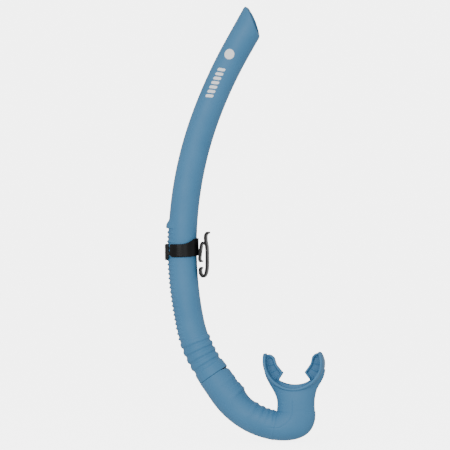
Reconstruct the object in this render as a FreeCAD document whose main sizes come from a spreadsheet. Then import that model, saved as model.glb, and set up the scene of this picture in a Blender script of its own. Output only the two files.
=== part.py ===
import FreeCAD, Part
import math
import os

import Sketcher

# A one-pipe swimming snorkel. The frame: origin at the centre of the mouth port, +Z out of the
# mouth port towards the wearer's teeth and up along the tube, X across the bend, Y across the width.
# The object is mirror symmetric about Y = 0, so nearly every section is drawn in the XZ plane.

os.makedirs("parts", exist_ok=True)
doc = FreeCAD.newDocument("SnorkelTube")
V = FreeCAD.Vector
ORIGIN = V(0, 0, 0)
X_AXIS = V(1, 0, 0)
Y_AXIS = V(0, 1, 0)
Z_AXIS = V(0, 0, 1)
THROUGH = 80.0
ROOT_SINK = 0.3  # how far a collar or tooth starts inside the tube's wall

# ------------------------------------------------------- driving dimensions (mm and degrees)
DIMENSIONS = [
    # where the tube leaves the elbow, and how far it leans back there
    ("seam_x", -80.9), ("seam_z", 11.1), ("seam_tilt", 34.7),
    # the soft tube: a straight, three tangent bends and a straight
    ("tube_radius", 14.0), ("bore_radius", 10.5), ("foot_straight", 8.0),
    ("foot_bend_radius", 121.0), ("foot_bend_angle", 22.6),
    ("rack_bend_radius", 373.0), ("rack_bend_angle", 32.7),
    ("upper_bend_radius", 469.0), ("upper_bend_angle", 9.0),
    ("top_straight", 41.0),
    # the slanted cut: how far below the line's end it passes at the back, near the middle and
    # at the front, and how far past the tube's wall it runs
    ("top_cut_back", 2.6), ("top_cut_middle", 6.15), ("top_cut_front", 21.5),
    ("top_cut_overrun", 3.0), ("top_cut_headroom", 6.0),
    ("insert_bore_radius", 12.0),
    # the rack teeth are crescents: eccentric discs that fade into the tube wall
    ("tooth_disc_radius", 13.0), ("tooth_disc_offset", 2.3), ("tooth_base", 3.3),
    ("tooth_pitch_angle", 0.684), ("tooth_count", 21), ("rack_start_angle", 0.55),
    ("low_tooth_angle", 17.5), ("low_tooth_pitch_angle", 2.37), ("low_tooth_count", 3),
    ("stop_disc_radius", 13.4), ("stop_disc_offset", 3.0), ("stop_gap_angle", 0.72),
    ("stop_land", 2.4), ("stop_under", 1.1), ("stop_slope", 6.4),
    # the tapered collar at the foot and the full rings above it
    ("foot_collar_radius", 16.1), ("foot_collar_top_radius", 15.7), ("foot_collar_length", 8.8),
    ("foot_collar_slope", 1.6), ("ring_proud", 1.35), ("ring_width", 5.8),
    ("ring_start_angle", 3.9), ("ring_pitch_angle", 3.55), ("ring_count", 4),
    # the rigid coupling insert
    ("insert_wall", 1.5), ("insert_upper", 7.9), ("insert_lower", 15.0),
    ("flange_radius", 15.6), ("flange_thickness", 0.8),
    ("bead_radius", 12.6), ("bead_depth", 9.0), ("bead_half_length", 1.6),
    ("running_clearance", 0.08),
    ("key_radius", 16.1), ("key_height", 1.1), ("key_width", 1.8), ("key_clearance", 0.15),
    # the elbow
    ("socket_radius", 16.2), ("socket_length", 20.0), ("elbow_bend_radius", 77.2),
    ("inner_radius_start", 61.0), ("inner_radius_end", 64.6), ("bend_end_heading", 80.0),
    ("corner_x", -6.5), ("corner_z", -26.4), ("corner_radius", 28.1),
    ("neck_centre_x", 2.3), ("neck_half_depth", 13.0),
    ("elbow_wall", 2.7),
    # the mouth shield and the bite tabs, all round one centre in front of the port
    ("shield_centre_z", 26.4), ("shield_radius", 31.1), ("shield_thickness", 2.5),
    ("shield_half_depth", 14.5), ("shield_corner", 12.0), ("shield_tip_z", 34.5),
    ("port_half_width", 12.0), ("port_half_depth", 7.0),
    ("tab_inner_radius", 17.5), ("tab_thickness", 3.2), ("tab_start_angle", -9.0),
    ("tab_end_angle", 50.0), ("lug_depth", 9.0), ("lug_width", 2.8),
    # the keeper collar
    ("keeper_x", -112.6), ("keeper_z", 135.5), ("keeper_tilt", 0.6),
    ("collar_bore_radius", 14.4), ("collar_radius", 16.3), ("rack_relief_radius", 13.5),
    ("collar_low", -6.5), ("collar_high", 6.5), ("plate_high", 11.9),
    ("window_x", -11.3), ("ear_inner_y", 10.1), ("ear_outer_y", 11.9), ("ear_back_x", -14.6),
    ("ear_half_height", 1.5),
    # the release pad on its stub pins
    ("pad_inner_radius", 15.6), ("pad_radius", 17.6), ("pad_half_width", 9.8),
    ("pad_low", -9.4), ("pad_high", 6.4), ("pad_relief", 0.9),
    ("pivot_x", -13.2), ("pivot_z", -3.0), ("pin_radius", 0.8), ("pin_reach", 11.6),
    ("pin_clearance", 0.06), ("pad_front_x", -9.0),
    # the stud and the strap hook
    ("stud_z", -3.2), ("stud_radius", 1.7), ("stud_head_radius", 2.5), ("stud_head", 0.9),
    ("hook_depth", 14.0), ("leg_bar", 2.0), ("tongue_bar", 1.7),
    ("tongue_x", 17.7), ("leg_x", 23.8), ("leg_corner", 1.3), ("tongue_corner", 1.0),
]

sheet = doc.addObject("Spreadsheet::Sheet", "dims")
for row, (alias, value) in enumerate(DIMENSIONS, start=1):
    sheet.set("A%d" % row, alias)
    sheet.set("B%d" % row, str(value))
    sheet.setAlias("B%d" % row, alias)
doc.recompute()
dim = {alias: float(sheet.get(alias)) for alias, _ in DIMENSIONS}


# ------------------------------------------------------- helpers
def unit(angle_deg):
    """Direction in an XZ sketch, measured clockwise from straight up."""
    angle = math.radians(angle_deg)
    return V(math.sin(angle), math.cos(angle), 0)


def left_of(angle_deg):
    """The direction 90 degrees to the left of unit(angle)."""
    angle = math.radians(angle_deg)
    return V(-math.cos(angle), math.sin(angle), 0)


def new_body(name, placement=None):
    body = doc.addObject("PartDesign::Body", name)
    body.Label = name
    if placement is not None:
        body.Placement = placement
    return body


def origin_plane(body, role):
    return next(item for item in body.Origin.OriginFeatures if item.Role == role)


def new_sketch(body, name, role="XZ_Plane", at=ORIGIN, turn=0.0):
    """A sketch on one of the body's origin planes, shifted to `at` and turned clockwise in it."""
    sketch = body.newObject("Sketcher::SketchObject", name)
    sketch.AttachmentSupport = [(origin_plane(body, role), "")]
    sketch.MapMode = "FlatFace"
    sketch.AttachmentOffset = FreeCAD.Placement(at, FreeCAD.Rotation(Z_AXIS, -turn))
    return sketch


def draw_polygon(sketch, points):
    for start, end in zip(points, points[1:] + points[:1]):
        sketch.addGeometry(Part.LineSegment(start, end))


def draw_circle(sketch, radius, alias=None, centre=ORIGIN):
    index = sketch.addGeometry(Part.Circle(centre, Z_AXIS, radius))
    constraint = sketch.addConstraint(Sketcher.Constraint("Radius", index, radius))
    if alias:
        sketch.renameConstraint(constraint, alias)
        sketch.setExpression("Constraints." + alias, "dims." + alias)


def revolve(body, sketch, name, kind="PartDesign::Revolution"):
    feature = body.newObject(kind, name)
    feature.Profile = sketch
    feature.ReferenceAxis = (sketch, ["V_Axis"])
    feature.Angle = 360.0
    doc.recompute()
    return feature


def polar_pattern(body, original, axis_sketch, name, pitch_alias, count_alias):
    pattern = body.newObject("PartDesign::PolarPattern", name)
    pattern.Originals = [original]
    pattern.Axis = (axis_sketch, ["N_Axis"])
    pattern.Reversed = True
    pattern.setExpression("Occurrences", "dims." + count_alias)
    pattern.setExpression("Angle", "dims.%s * (dims.%s - 1)" % (pitch_alias, count_alias))
    body.Tip = pattern
    doc.recompute()
    return pattern


def pad_both_ways(body, sketch, name, length):
    """A pad centred on its sketch; length is an expression on the sheet."""
    feature = body.newObject("PartDesign::Pad", name)
    feature.Profile = sketch
    feature.Midplane = True
    feature.setExpression("Length", length)
    doc.recompute()
    return feature


def cut_through(body, sketch, name, length=THROUGH):
    feature = body.newObject("PartDesign::Pocket", name)
    feature.Profile = sketch
    feature.Midplane = True
    feature.Length = length
    doc.recompute()
    return feature


# ------------------------------------------------------- the line of the tube
class TubeLine:
    """The tube's centre line in the barrel's own frame: it starts up the sketch's Y axis."""

    def __init__(self):
        self.foot_end = V(0, dim["foot_straight"], 0)
        self.bends = []
        start = self.foot_end
        heading = 0.0
        for bend in ("foot", "rack", "upper"):
            radius = dim[bend + "_bend_radius"]
            turn = dim[bend + "_bend_angle"]
            centre = start - left_of(heading) * radius
            self.bends.append((centre, radius, heading, heading + turn))
            heading += turn
            start = centre + left_of(heading) * radius
        self.bend_end = start
        self.top_heading = heading
        self.top = start + unit(heading) * dim["top_straight"]

    def on_bend(self, index, angle):
        """Point and heading on one bend, `angle` degrees after its start."""
        centre, radius, first, _ = self.bends[index]
        return centre + left_of(first + angle) * radius, first + angle

    def draw(self, sketch):
        sketch.addGeometry(Part.LineSegment(ORIGIN, self.foot_end))
        for centre, radius, first, last in self.bends:
            circle = Part.Circle(centre, Z_AXIS, radius)
            sketch.addGeometry(
                Part.ArcOfCircle(circle, math.radians(180 - last), math.radians(180 - first))
            )
        sketch.addGeometry(Part.LineSegment(self.bend_end, self.top))


FOOT_BEND, RACK_BEND = 0, 1
line = TubeLine()
seam = FreeCAD.Placement(
    V(dim["seam_x"], 0, dim["seam_z"]), FreeCAD.Rotation(Y_AXIS, -dim["seam_tilt"])
)


# ------------------------------------------------------- barrel: the soft tube
def ring_feature(body, name, at, heading):
    """One full rounded ring round the tube."""
    half = dim["ring_width"] / 2
    wall = dim["tube_radius"] - 0.1
    core = dim["tube_radius"] - 5 * ROOT_SINK
    sketch = new_sketch(body, name + "_section", at=at, turn=heading)
    sketch.addGeometry(Part.LineSegment(V(core, half, 0), V(core, -half, 0)))
    sketch.addGeometry(Part.LineSegment(V(core, -half, 0), V(wall, -half, 0)))
    crown = V(dim["tube_radius"] + dim["ring_proud"], 0, 0)
    sketch.addGeometry(Part.Arc(V(wall, -half, 0), crown, V(wall, half, 0)))
    sketch.addGeometry(Part.LineSegment(V(wall, half, 0), V(core, half, 0)))
    return revolve(body, sketch, name)


def tooth_feature(body, name, at, heading, radius, offset, below, above, land=0.0):
    """One crescent tooth: an edged disc whose axis lies off the tube's, towards the back."""
    sketch = new_sketch(body, name + "_section", at=at - unit(heading + 90) * offset, turn=heading)
    root = dim["tube_radius"] - ROOT_SINK - offset
    crest = [V(radius, 0, 0)]
    if land:
        crest.append(V(radius, land, 0))
    draw_polygon(sketch, [V(0, -below, 0), V(root, -below, 0), *crest,
                          V(root, land + above, 0), V(0, land + above, 0)])
    return revolve(body, sketch, name)


def build_barrel():
    body = new_body("barrel", seam)
    path = new_sketch(body, "tube_line")
    line.draw(path)
    outside = new_sketch(body, "outside_section", "XY_Plane")
    draw_circle(outside, dim["tube_radius"], "tube_radius")
    doc.recompute()
    edges = ["Edge%d" % number for number in range(1, 6)]
    tube = body.newObject("PartDesign::AdditivePipe", "tube")
    tube.Profile = outside
    tube.Spine = (path, edges)
    doc.recompute()

    foot = new_sketch(body, "foot_collar_section")
    shoulder = dim["foot_collar_length"]
    end = shoulder + dim["foot_collar_slope"]
    root = dim["tube_radius"] - ROOT_SINK
    draw_polygon(foot, [V(0, 0, 0), V(dim["foot_collar_radius"], 0, 0),
                        V(dim["foot_collar_top_radius"], shoulder, 0), V(root, end, 0),
                        V(0, end, 0)])
    revolve(body, foot, "foot_collar")

    foot_axis = new_sketch(body, "foot_bend_axis", at=line.bends[FOOT_BEND][0])
    rack_axis = new_sketch(body, "rack_bend_axis", at=line.bends[RACK_BEND][0])
    at, heading = line.on_bend(FOOT_BEND, dim["ring_start_angle"])
    ring = ring_feature(body, "bend_ring", at, heading)
    polar_pattern(body, ring, foot_axis, "bend_rings", "ring_pitch_angle", "ring_count")

    half = dim["tooth_base"] / 2
    radius, offset = dim["tooth_disc_radius"], dim["tooth_disc_offset"]
    at, heading = line.on_bend(FOOT_BEND, dim["low_tooth_angle"])
    tooth = tooth_feature(body, "low_tooth", at, heading, radius, offset, half, half)
    polar_pattern(body, tooth, foot_axis, "low_teeth", "low_tooth_pitch_angle", "low_tooth_count")
    at, heading = line.on_bend(RACK_BEND, dim["rack_start_angle"])
    tooth = tooth_feature(body, "rack_tooth", at, heading, radius, offset, half, half)
    polar_pattern(body, tooth, rack_axis, "rack_teeth", "tooth_pitch_angle", "tooth_count")
    last = dim["rack_start_angle"] + dim["tooth_pitch_angle"] * (dim["tooth_count"] - 1)
    at, heading = line.on_bend(RACK_BEND, last + dim["stop_gap_angle"])
    tooth_feature(body, "stop_tooth", at, heading, dim["stop_disc_radius"],
                  dim["stop_disc_offset"], dim["stop_under"], dim["stop_slope"], dim["stop_land"])

    inside = new_sketch(body, "bore_section", "XY_Plane")
    draw_circle(inside, dim["bore_radius"], "bore_radius")
    bore = body.newObject("PartDesign::SubtractivePipe", "bore")
    bore.Profile = inside
    bore.Spine = (path, edges)
    doc.recompute()
    seat = new_sketch(body, "insert_seat_section", "XY_Plane")
    draw_circle(seat, dim["insert_bore_radius"], "insert_bore_radius")
    pocket = body.newObject("PartDesign::Pocket", "insert_seat")
    pocket.Profile = seat
    pocket.Reversed = True
    pocket.setExpression("Length", "dims.foot_straight")
    doc.recompute()

    # the insert's key sits in a notch at the back of the foot
    clear = dim["key_clearance"]
    notch = new_sketch(body, "key_notch_section")
    reach, top = dim["key_radius"] + 2, dim["key_height"] + clear
    root = dim["insert_bore_radius"] - 0.5
    draw_polygon(notch, [V(-reach, -1, 0), V(-root, -1, 0), V(-root, top, 0), V(-reach, top, 0)])
    cut_through(body, notch, "key_notch", dim["key_width"] + 2 * clear)

    # the slanted, slightly convex cut at the open top
    cut = new_sketch(body, "top_cut_section", at=line.top, turn=line.top_heading)
    reach = dim["tube_radius"] + dim["top_cut_overrun"]
    above = dim["top_cut_headroom"]
    start = V(-reach, -dim["top_cut_back"], 0)
    middle = V(-dim["tube_radius"] / 4, -dim["top_cut_middle"], 0)
    low = V(reach, -dim["top_cut_front"], 0)
    cut.addGeometry(Part.Arc(start, middle, low))
    cut.addGeometry(Part.LineSegment(low, V(reach, above, 0)))
    cut.addGeometry(Part.LineSegment(V(reach, above, 0), V(-reach, above, 0)))
    cut.addGeometry(Part.LineSegment(V(-reach, above, 0), start))
    cut_through(body, cut, "top_cut")
    return body


# ------------------------------------------------------- coupling sleeve: the rigid insert
def build_coupling_sleeve():
    body = new_body("coupling_sleeve", seam)
    outer, bore = dim["insert_bore_radius"], dim["insert_bore_radius"] - dim["insert_wall"]
    flange = dim["flange_thickness"]
    bead = -dim["bead_depth"]
    length = dim["bead_half_length"]
    section = new_sketch(body, "insert_section")
    draw_polygon(section, [
        V(bore, dim["insert_upper"], 0), V(outer, dim["insert_upper"], 0), V(outer, 0, 0),
        V(dim["flange_radius"], 0, 0), V(dim["flange_radius"], -flange, 0), V(outer, -flange, 0),
        V(outer, bead + length, 0), V(dim["bead_radius"], bead + length / 2, 0),
        V(dim["bead_radius"], bead - length / 2, 0), V(outer, bead - length, 0),
        V(outer, -dim["insert_lower"], 0), V(bore, -dim["insert_lower"], 0),
    ])
    revolve(body, section, "insert")

    # a key at the back shows in the seam and stops the insert turning in the tube
    key = new_sketch(body, "key_section")
    inside, outside = outer - 0.4, dim["key_radius"]
    draw_polygon(key, [V(-outside, -flange, 0), V(-inside, -flange, 0),
                       V(-inside, dim["key_height"], 0), V(-outside, dim["key_height"], 0)])
    pad_both_ways(body, key, "key", "dims.key_width")
    return body


# ------------------------------------------------------- mouthpiece elbow: one soft moulding
def in_plane(x, z):
    return V(x, 0, z)


def heading_vectors(heading):
    """Travel direction and inner normal, with the heading measured from straight down to +X."""
    angle = math.radians(heading)
    return V(math.sin(angle), 0, -math.cos(angle)), V(math.cos(angle), 0, math.sin(angle))


def oval(centre, heading, half_width, half_depth):
    """An oval wire square to the heading, its wide way in the bend's plane, its depth along Y."""
    travel, inner = heading_vectors(heading)
    edge = Part.Ellipse(ORIGIN, half_width + 1e-4, half_depth).toShape()
    frame = FreeCAD.Rotation(inner, travel.cross(inner), travel, "XYZ")
    edge.Placement = FreeCAD.Placement(centre, frame)
    return Part.Wire([edge])


def corner_reach(crotch, direction):
    """Distance from the crotch to the elbow's rounded outer corner along a direction."""
    offset = crotch - in_plane(dim["corner_x"], dim["corner_z"])
    along = offset.dot(direction)
    return -along + math.sqrt(along**2 - offset.dot(offset) + dim["corner_radius"] ** 2)


def elbow_stations():
    """Centre, heading, half width and half depth of the elbow's outside, from seam to neck."""
    tilt = dim["seam_tilt"]
    travel, inner = heading_vectors(tilt)
    top = in_plane(dim["seam_x"], dim["seam_z"])
    start = top + travel * dim["socket_length"]
    centre = start + inner * dim["elbow_bend_radius"]
    outer_radius = dim["elbow_bend_radius"] + dim["socket_radius"]
    socket_top = dim["flange_thickness"] + dim["running_clearance"]
    stations = [(top + travel * depth, tilt, dim["socket_radius"], dim["socket_radius"])
                for depth in (socket_top, dim["socket_length"] / 2, dim["socket_length"])]
    bend_steps = 4
    for step in range(1, bend_steps + 1):
        share = step / bend_steps
        heading = tilt + (dim["bend_end_heading"] - tilt) * share
        inner_radius = dim["inner_radius_start"] + share * (
            dim["inner_radius_end"] - dim["inner_radius_start"])
        middle = (outer_radius + inner_radius) / 2
        half_width = (outer_radius - inner_radius) / 2
        _, inward = heading_vectors(heading)
        stations.append((centre - inward * middle, heading, half_width, half_width))
    _, inward = heading_vectors(dim["bend_end_heading"])
    crotch = centre - inward * dim["inner_radius_end"]
    for heading, half_depth in ((105.0, 14.2), (130.0, 13.9), (155.0, 13.5)):
        _, inward = heading_vectors(heading)
        reach = corner_reach(crotch, inward * -1)
        stations.append((crotch - inward * reach / 2, heading, reach / 2, half_depth))
    for z, half_width in ((-20.0, 18.4), (-12.0, 18.9), (-4.0, 21.6), (4.0, 25.5)):
        stations.append((in_plane(dim["neck_centre_x"] * min(1.0, max(0.0, (3 - z) / 15)), z),
                         180.0, half_width, dim["neck_half_depth"]))
    return stations


def elbow_outside():
    wires = [oval(*station) for station in elbow_stations()]
    return Part.makeLoft(wires, True, False)


def elbow_airway():
    wall = dim["elbow_wall"]
    travel, _ = heading_vectors(dim["seam_tilt"])
    top = in_plane(dim["seam_x"], dim["seam_z"]) + travel * (dim["socket_length"] - 3)
    start = dim["socket_radius"] - wall - 0.6
    wires = [oval(top, dim["seam_tilt"], start, start)]
    for centre, heading, half_width, half_depth in elbow_stations()[3:-3]:
        wires.append(oval(centre, heading, half_width - wall, half_depth - wall))
    for z, grow in ((-12.0, 2.4), (-4.0, 0.4), (6.0, 0.0)):
        centre = in_plane(0.0 if z > -5 else 1.6, z)
        wires.append(oval(centre, 180.0, dim["port_half_width"] + grow,
                          dim["port_half_depth"] + grow))
    return Part.makeLoft(wires, True, False)


def elbow_socket_bore():
    """The socket that runs on the insert, with a groove for its bead and a lead into the airway."""
    clear = dim["running_clearance"]
    outer = dim["insert_bore_radius"] + clear
    groove = dim["bead_radius"] + clear
    bead, half = dim["bead_depth"], dim["bead_half_length"] + clear
    airway = dim["socket_radius"] - dim["elbow_wall"]
    points = [(0, 0), (outer, 0), (outer, -bead + half), (groove, -bead + half / 2),
              (groove, -bead - half / 2), (outer, -bead - half), (outer, -dim["insert_lower"] - 0.2),
              (airway, -dim["insert_lower"] - 1.8), (airway, -dim["socket_length"]),
              (0, -dim["socket_length"])]
    outline = Part.makePolygon([V(x, 0, z) for x, z in points + points[:1]])
    bore = Part.Face(outline).revolve(ORIGIN, Z_AXIS, 360)
    bore.Placement = seam
    return bore


def prism(wire_points, depth):
    """A prism through Y, centred on the mirror plane, from outline points in the XZ plane."""
    outline = Part.makePolygon(wire_points + wire_points[:1])
    face = Part.Face(outline)
    face.translate(V(0, -depth / 2, 0))
    return face.extrude(V(0, depth, 0))


def disc(radius, depth):
    centre = V(0, -depth / 2, dim["shield_centre_z"])
    return Part.makeCylinder(radius, depth, centre, Y_AXIS)


def shield_plate():
    """The curved plate that sits between lips and gums, with rounded ends in the mouth's plane."""
    radius, tip = dim["shield_radius"], dim["shield_tip_z"]
    depth = 2 * dim["shield_half_depth"]
    inner = radius - dim["shield_thickness"]
    below = disc(radius, depth)
    side_height = tip - dim["shield_centre_z"]
    sides = Part.makeBox(2 * radius, depth, side_height,
                         V(-radius, -depth / 2, dim["shield_centre_z"]))
    blank = below.fuse(sides).cut(Part.makeBox(200, 200, 100, V(-100, -100, tip)))
    hollow = disc(inner, depth + 2).fuse(
        Part.makeBox(2 * inner, depth + 2, side_height + 2,
                     V(-inner, -depth / 2 - 1, dim["shield_centre_z"])))
    plate = blank.cut(hollow)
    side_view = Part.makeBox(2 * radius + 2, depth, tip + 20, V(-radius - 1, -depth / 2, -20))
    ends = [edge for edge in side_view.Edges
            if abs(edge.tangentAt(edge.FirstParameter).x) > 0.9
            and edge.CenterOfMass.z > 0]
    rounded = side_view.makeFillet(dim["shield_corner"], ends)
    return plate.common(rounded)


def bite_tab(side):
    """One bite tab: a flat wing inside the shield with a raised lug along its inner edge."""
    def sector(inner, outer, depth):
        reach = 60.0
        first, last = dim["tab_start_angle"], dim["tab_end_angle"]
        centre_z = dim["shield_centre_z"]
        points = [in_plane(0, centre_z)]
        for step in range(5):
            angle = math.radians(first + (last - first) * step / 4)
            points.append(in_plane(side * reach * math.cos(angle),
                                   centre_z - reach * math.sin(angle)))
        return disc(outer, depth).cut(disc(inner, depth + 2)).common(prism(points, depth))
    inner = dim["tab_inner_radius"]
    wing = sector(inner, dim["shield_radius"] - dim["shield_thickness"] + 0.6,
                  dim["tab_thickness"])
    lug = sector(inner, inner + dim["lug_width"], dim["lug_depth"])
    return wing.fuse(lug)


def build_mouthpiece_elbow():
    inside_shield = disc(dim["shield_radius"] - dim["shield_thickness"], 60)
    body = elbow_outside().cut(inside_shield)
    body = body.fuse(shield_plate())
    body = body.cut(elbow_airway()).cut(elbow_socket_bore())
    for side in (-1, 1):
        body = body.fuse(bite_tab(side))
    elbow = doc.addObject("Part::Feature", "mouthpiece_elbow")
    elbow.Label = "mouthpiece_elbow"
    elbow.Shape = body.removeSplitter()
    return elbow


# ------------------------------------------------------- keeper collar
keeper = FreeCAD.Placement(
    V(dim["keeper_x"], 0, dim["keeper_z"]), FreeCAD.Rotation(Y_AXIS, -dim["keeper_tilt"])
)


def build_keeper_collar():
    body = new_body("keeper_collar", keeper)
    high, low = dim["plate_high"], dim["collar_low"]
    ring = new_sketch(body, "collar_blank_section")
    draw_polygon(ring, [V(0, low, 0), V(dim["collar_radius"], low, 0),
                        V(dim["collar_radius"], high, 0), V(0, high, 0)])
    revolve(body, ring, "collar_blank")

    # ears beside the window carry the release pad's stub pins
    ears = new_sketch(body, "ear_section", "XZ_Plane")
    ear_low = dim["pivot_z"] - dim["ear_half_height"]
    ear_high = dim["pivot_z"] + dim["ear_half_height"]
    draw_polygon(ears, [V(dim["ear_back_x"], ear_low, 0), V(-10, ear_low, 0),
                        V(-10, ear_high, 0), V(dim["ear_back_x"], ear_high, 0)])
    pad_both_ways(body, ears, "ears", "2 * dims.ear_outer_y")

    stud = new_sketch(body, "stud_section", "XY_Plane")
    stud.AttachmentOffset = FreeCAD.Placement(V(0, 0, dim["stud_z"]), FreeCAD.Rotation())
    neck_end = dim["tongue_x"] + dim["tongue_bar"] - dim["stud_head"]
    radius, head = dim["stud_radius"], dim["stud_head_radius"]
    draw_polygon(stud, [V(15, 0, 0), V(neck_end + dim["stud_head"], 0, 0),
                        V(neck_end + dim["stud_head"], head, 0), V(neck_end, head, 0),
                        V(neck_end, radius, 0), V(15, radius, 0)])
    stud_turn = body.newObject("PartDesign::Revolution", "stud")
    stud_turn.Profile = stud
    stud_turn.ReferenceAxis = (stud, ["H_Axis"])
    stud_turn.Angle = 360.0
    doc.recompute()

    # the band is 13 mm tall at the back and sweeps up into a taller plate at the front
    above = new_sketch(body, "upper_edge_section")
    top = dim["collar_high"]
    edge = dim["collar_radius"] + 2
    above.addGeometry(Part.LineSegment(V(-edge, high + 1, 0), V(-edge, top, 0)))
    above.addGeometry(Part.LineSegment(V(-edge, top, 0), V(1.5, top, 0)))
    above.addGeometry(Part.Arc(V(1.5, top, 0), V(6.0, top + 0.7, 0), V(9.8, top + 2.4, 0)))
    above.addGeometry(Part.Arc(V(9.8, top + 2.4, 0), V(13.0, top + 4.5, 0), V(16.5, high, 0)))
    above.addGeometry(Part.LineSegment(V(16.5, high, 0), V(16.5, high + 1, 0)))
    above.addGeometry(Part.LineSegment(V(16.5, high + 1, 0), V(-edge, high + 1, 0)))
    cut_through(body, above, "upper_edge")
    below = new_sketch(body, "lower_edge_section")
    below.addGeometry(Part.Arc(V(7.5, low, 0), V(12.5, low + 0.8, 0), V(17.5, low + 2.6, 0)))
    below.addGeometry(Part.LineSegment(V(17.5, low + 2.6, 0), V(17.5, low - 1, 0)))
    below.addGeometry(Part.LineSegment(V(17.5, low - 1, 0), V(7.5, low - 1, 0)))
    below.addGeometry(Part.LineSegment(V(7.5, low - 1, 0), V(7.5, low, 0)))
    cut_through(body, below, "lower_edge")

    # the window at the back, with a clear height above and below the ears
    window = dim["window_x"]
    for name, bottom, ceiling in (("window_below", low - 1, ear_low),
                                  ("window_above", ear_high, high + 1)):
        gap = new_sketch(body, name + "_section")
        draw_polygon(gap, [V(-edge, bottom, 0), V(window, bottom, 0),
                           V(window, ceiling, 0), V(-edge, ceiling, 0)])
        cut_through(body, gap, name)
    between = new_sketch(body, "pad_space_section", "XY_Plane")
    side, front = dim["ear_inner_y"], dim["pad_front_x"]
    draw_polygon(between, [V(-edge - 2, -side, 0), V(front, -side, 0), V(front, side, 0),
                           V(-edge - 2, side, 0)])
    cut_through(body, between, "pad_space")

    # the bore clears the tube, and a second, eccentric bore clears the rack
    for name, radius, offset in (("bore", dim["collar_bore_radius"], 0.0),
                                 ("rack_relief", dim["rack_relief_radius"],
                                  dim["tooth_disc_offset"])):
        circle = new_sketch(body, name + "_section", "XY_Plane", at=V(-offset, 0, 0))
        draw_circle(circle, radius)
        cut_through(body, circle, name)
    pin_holes = new_sketch(body, "pin_hole_section", at=V(dim["pivot_x"], dim["pivot_z"], 0))
    draw_circle(pin_holes, dim["pin_radius"] + dim["pin_clearance"])
    cut_through(body, pin_holes, "pin_holes")
    return body


# ------------------------------------------------------- release pad
def build_release_pad():
    body = new_body("release_pad", keeper)
    low, high = dim["pad_low"], dim["pad_high"]
    inner, outer = dim["pad_inner_radius"], dim["pad_radius"]
    plate = new_sketch(body, "pad_section")
    relief = inner + dim["pad_relief"]
    middle = dim["pivot_z"]
    draw_polygon(plate, [V(-relief, low, 0), V(-inner, middle, 0), V(-inner, high - 0.5, 0),
                         V(-inner - 0.6, high + 0.9, 0), V(-outer + 0.5, high, 0),
                         V(-outer, high - 0.6, 0), V(-outer, low + 0.6, 0), V(-outer + 0.6, low, 0)])
    revolve(body, plate, "pad_ring")

    # keep only the back of the ring, between the collar's ears
    front = new_sketch(body, "front_section", "XY_Plane")
    width, far, keep_x = dim["pad_half_width"], 30.0, dim["pad_front_x"]
    draw_polygon(front, [V(keep_x, -far, 0), V(far, -far, 0), V(far, far, 0), V(keep_x, far, 0)])
    cut_through(body, front, "front_cut")
    for name, side in (("near_side", -1), ("far_side", 1)):
        trim = new_sketch(body, name + "_section", "XY_Plane")
        draw_polygon(trim, [V(-far, side * width, 0), V(far, side * width, 0),
                            V(far, side * far, 0), V(-far, side * far, 0)])
        cut_through(body, trim, name)
    pins = new_sketch(body, "pin_section", at=V(dim["pivot_x"], dim["pivot_z"], 0))
    draw_circle(pins, dim["pin_radius"], "pin_radius")
    pad_both_ways(body, pins, "stub_pins", "2 * dims.pin_reach")
    hollow = new_sketch(body, "hollow_section", "XY_Plane")
    draw_circle(hollow, inner)
    cut_through(body, hollow, "hollow")
    return body


# ------------------------------------------------------- strap hook
def rounded_path(points, radius):
    """A wire through the points in the XZ plane, with its corners rounded."""
    edges = []
    start = points[0]
    for before, corner, after in zip(points, points[1:], points[2:]):
        way_in = (corner - before).normalize()
        way_out = (after - corner).normalize()
        turn = way_in.getAngle(way_out)
        setback = radius * math.tan(turn / 2)
        first = corner - way_in * setback
        last = corner + way_out * setback
        bisector = (way_out - way_in).normalize()
        centre = corner + bisector * (radius / math.cos(turn / 2))
        middle = centre - bisector * radius
        edges.append(Part.LineSegment(start, first).toShape())
        edges.append(Part.Arc(first, middle, last).toShape())
        start = last
    edges.append(Part.LineSegment(start, points[-1]).toShape())
    return Part.Wire(edges)


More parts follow.
